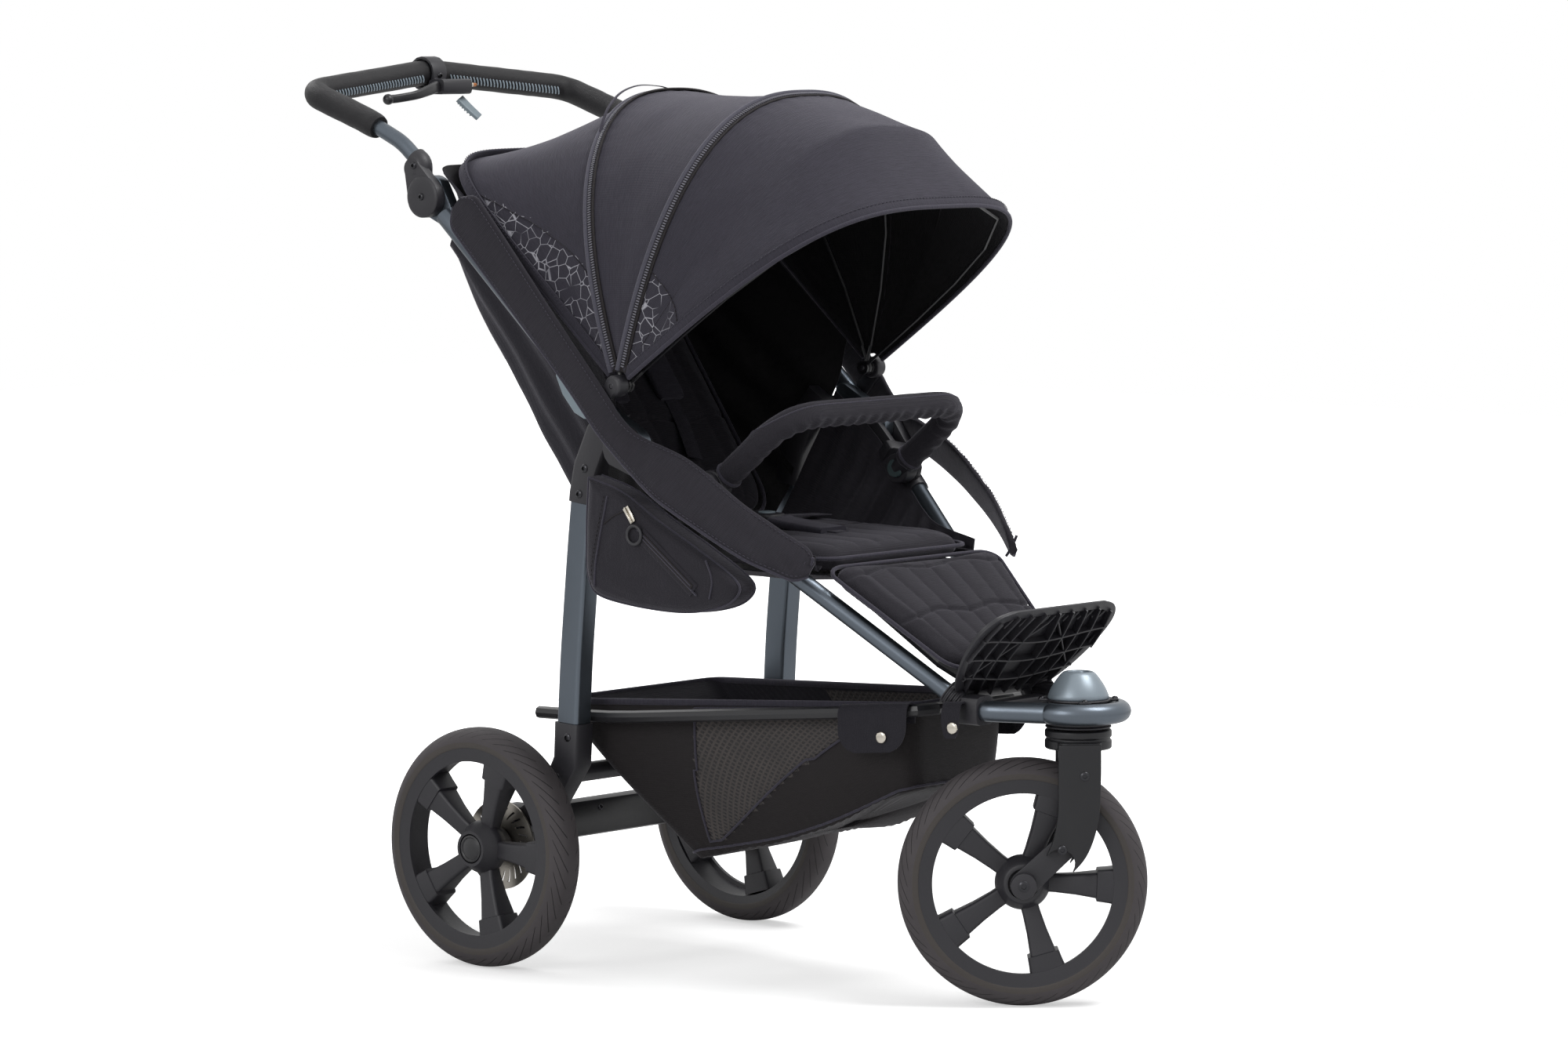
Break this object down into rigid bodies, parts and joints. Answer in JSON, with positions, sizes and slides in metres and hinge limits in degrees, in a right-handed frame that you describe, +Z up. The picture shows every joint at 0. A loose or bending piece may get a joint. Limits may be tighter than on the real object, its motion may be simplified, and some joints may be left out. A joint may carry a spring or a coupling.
{
  "type": "sport stroller",
  "caption": "Three-wheeled folding sport stroller with swivelling front wheel, reclining seat, hooded canopy, bumper bar, leg rest, shopping basket and adjustable handle.",
  "frame": {"origin": "on the ground under the middle of the stroller's outer box", "axes": "+Z up, -Y forward (travel direction), +X to the child's left"},
  "size_m": [0.57, 1.2005, 1.1589],
  "materials": {
    "anodised_alloy": "satin blue-grey anodising",
    "black_tube": "satin black powder coat",
    "black_plastic": "fine-grained black moulding",
    "grey_plastic": "grey moulding",
    "fabric": "black melange polyester weave",
    "leatherette": "black leatherette with lacing",
    "tyre": "matt brown-black rubber",
    "steel": "brushed disc"
  },
  "bodies": {
    "lower_frame": {"lower_tube_right": "anodised_alloy", "lower_tube_left": "anodised_alloy", "front_loop": "anodised_alloy", "front_junction": "black_plastic", "hinge_housing_right": "black_plastic", "hinge_housing_left": "black_plastic", "headset_plate": "black_plastic", "headset_cone": "anodised_alloy", "seat_pad": "fabric", "basket_frame": "black_tube", "basket": "fabric", "side_bag": "fabric", "bumper_socket_right": "black_plastic", "bumper_socket_left": "black_plastic"},
    "leg_rest": {"leg_rest_frame": "black_tube", "leg_rest_pad": "fabric", "footrest": "black_plastic"},
    "upper_frame": {"upper_tube_right": "anodised_alloy", "upper_tube_left": "anodised_alloy", "side_band_right": "fabric", "side_band_left": "fabric", "canopy_knob_right": "black_plastic", "canopy_knob_left": "black_plastic", "canopy_rear_panel": "fabric"},
    "release_lever_right": {"release_lever_right": "grey_plastic"},
    "release_lever_left": {"release_lever_left": "grey_plastic"},
    "handle": {"handle_tube": "anodised_alloy", "handle_grip": "leatherette", "handle_socket_right": "black_plastic", "handle_socket_left": "black_plastic", "brake_bracket": "black_plastic"},
    "brake_lever": {"brake_lever": "black_tube"},
    "parking_lock": {"parking_lock": "grey_plastic"},
    "canopy_rear_bow": {"canopy_rear_bow": "black_tube", "canopy_middle_panel": "fabric"},
    "canopy_middle_bow": {"canopy_middle_bow": "black_tube", "canopy_front_panel": "fabric"},
    "canopy_front_bow": {"canopy_front_bow": "black_tube"},
    "backrest": {"backrest": "fabric"},
    "rear_legs": {"rear_leg_right": "anodised_alloy", "rear_leg_left": "anodised_alloy", "leg_bracket_right": "black_plastic", "leg_bracket_left": "black_plastic", "rear_carriage": "black_plastic", "rear_axle_beam": "black_tube"},
    "rear_wheel_right": {"rear_tyre_right": "tyre", "rear_rim_right": "black_plastic", "brake_disc_right": "steel"},
    "rear_wheel_left": {"rear_tyre_left": "tyre", "rear_rim_left": "black_plastic", "brake_disc_left": "steel"},
    "hub_button_right": {"hub_button_right": "black_plastic"},
    "hub_button_left": {"hub_button_left": "black_plastic"},
    "fork": {"fork": "anodised_alloy"},
    "fork_arm": {"fork_arm": "black_plastic"},
    "front_wheel": {"front_tyre": "tyre", "front_rim": "black_plastic"},
    "bumper": {"bumper_bar": "fabric"},
    "bumper_button_right": {"bumper_button_right": "grey_plastic"},
    "bumper_button_left": {"bumper_button_left": "grey_plastic"}
  },
  "joints": [
    {"name": "fold", "type": "hinge", "parent": "lower_frame", "child": "upper_frame", "pos_m": [0, 0.0075, 0.679], "axis": [1, 0, 0], "range_deg": [0, 115], "deforming": ["side_band_right", "side_band_left"]},
    {"name": "rear_legs", "type": "hinge", "parent": "lower_frame", "child": "rear_legs", "pos_m": [0, 0.0695, 0.702], "axis": [-1, 0, 0], "range_deg": [0, 43], "deforming": ["basket"]},
    {"name": "handle", "type": "hinge", "parent": "upper_frame", "child": "handle", "pos_m": [0, 0.3475, 0.984], "axis": [-1, 0, 0], "range_deg": [-45, 45]},
    {"name": "brake_lever", "type": "hinge", "parent": "handle", "child": "brake_lever", "pos_m": [-0.026, 0.5475, 1.119], "axis": [0, 0, -1], "range_deg": [0, 8], "stiffness_Nm_per_rad": 1.5, "springref_deg": -5.73},
    {"name": "parking_lock", "type": "hinge", "parent": "handle", "child": "parking_lock", "pos_m": [0.026, 0.5475, 1.108], "axis": [1, 0, 0], "range_deg": [0, 25]},
    {"name": "canopy_rear_bow", "type": "hinge", "parent": "upper_frame", "child": "canopy_rear_bow", "pos_m": [0, 0.0195, 0.755], "axis": [1, 0, 0], "range_deg": [-39, 0], "deforming": ["canopy_rear_panel"]},
    {"name": "canopy_middle_bow", "type": "hinge", "parent": "canopy_rear_bow", "child": "canopy_middle_bow", "pos_m": [0, 0.0195, 0.755], "axis": [1, 0, 0], "range_deg": [-28, 0], "deforming": ["canopy_middle_panel"]},
    {"name": "canopy_front_bow", "type": "hinge", "parent": "canopy_middle_bow", "child": "canopy_front_bow", "pos_m": [0, 0.0195, 0.755], "axis": [-1, 0, 0], "range_deg": [-8, 30], "deforming": ["canopy_front_panel"]},
    {"name": "backrest", "type": "hinge", "parent": "upper_frame", "child": "backrest", "pos_m": [0, 0.1195, 0.548], "axis": [-1, 0, 0], "range_deg": [0, 45]},
    {"name": "leg_rest", "type": "hinge", "parent": "lower_frame", "child": "leg_rest", "pos_m": [0, -0.2395, 0.52], "axis": [1, 0, 0], "range_deg": [-35, 0]},
    {"name": "bumper", "type": "hinge", "parent": "lower_frame", "child": "bumper", "pos_m": [0, -0.0845, 0.632], "axis": [1, 0, 0], "range_deg": [0, 40]},
    {"name": "fork_swivel", "type": "hinge", "parent": "lower_frame", "child": "fork", "pos_m": [0, -0.5175, 0.3], "axis": [0, 0, 1], "continuous": true},
    {"name": "fork_arm", "type": "hinge", "parent": "fork", "child": "fork_arm", "pos_m": [-0.01304, -0.50234, 0.1985], "axis": [0.7581, 0.6521, 0], "range_deg": [0, 8], "stiffness_Nm_per_rad": 60, "springref_deg": -3.44},
    {"name": "front_wheel", "type": "hinge", "parent": "fork_arm", "child": "front_wheel", "pos_m": [-0.04434, -0.46595, 0.15402], "axis": [0.7581, 0.6521, 0], "continuous": true},
    {"name": "release_lever_right", "type": "hinge", "parent": "upper_frame", "child": "release_lever_right", "pos_m": [-0.2228, 0.0955, 0.722], "axis": [1, 0, 0], "range_deg": [0, 12], "stiffness_Nm_per_rad": 0.6, "springref_deg": -11.46},
    {"name": "rear_wheel_right", "type": "hinge", "parent": "rear_legs", "child": "rear_wheel_right", "pos_m": [-0.256, 0.2455, 0.15403], "axis": [1, 0, 0], "continuous": true},
    {"name": "hub_button_right", "type": "slide", "parent": "rear_wheel_right", "child": "hub_button_right", "axis": [1, 0, 0], "range_m": [0, 0.003], "stiffness_N_per_m": 700, "springref_m": -0.002},
    {"name": "bumper_button_right", "type": "slide", "parent": "bumper", "child": "bumper_button_right", "axis": [-1, 0, 0], "range_m": [0, 0.003], "stiffness_N_per_m": 500, "springref_m": -0.002},
    {"name": "release_lever_left", "type": "hinge", "parent": "upper_frame", "child": "release_lever_left", "pos_m": [0.2228, 0.0955, 0.722], "axis": [1, 0, 0], "range_deg": [0, 12], "stiffness_Nm_per_rad": 0.6, "springref_deg": -11.46},
    {"name": "rear_wheel_left", "type": "hinge", "parent": "rear_legs", "child": "rear_wheel_left", "pos_m": [0.256, 0.2455, 0.15403], "axis": [1, 0, 0], "continuous": true},
    {"name": "hub_button_left", "type": "slide", "parent": "rear_wheel_left", "child": "hub_button_left", "axis": [-1, 0, 0], "range_m": [0, 0.003], "stiffness_N_per_m": 700, "springref_m": -0.002},
    {"name": "bumper_button_left", "type": "slide", "parent": "bumper", "child": "bumper_button_left", "axis": [1, 0, 0], "range_m": [0, 0.003], "stiffness_N_per_m": 500, "springref_m": -0.002}
  ],
  "couplings": [
    {"joint": "rear_legs", "follows": "fold", "ratio": 0.371},
    {"joint": "canopy_rear_bow", "follows": "fold", "ratio": -0.335},
    {"joint": "canopy_middle_bow", "follows": "fold", "ratio": -0.24}
  ]
}
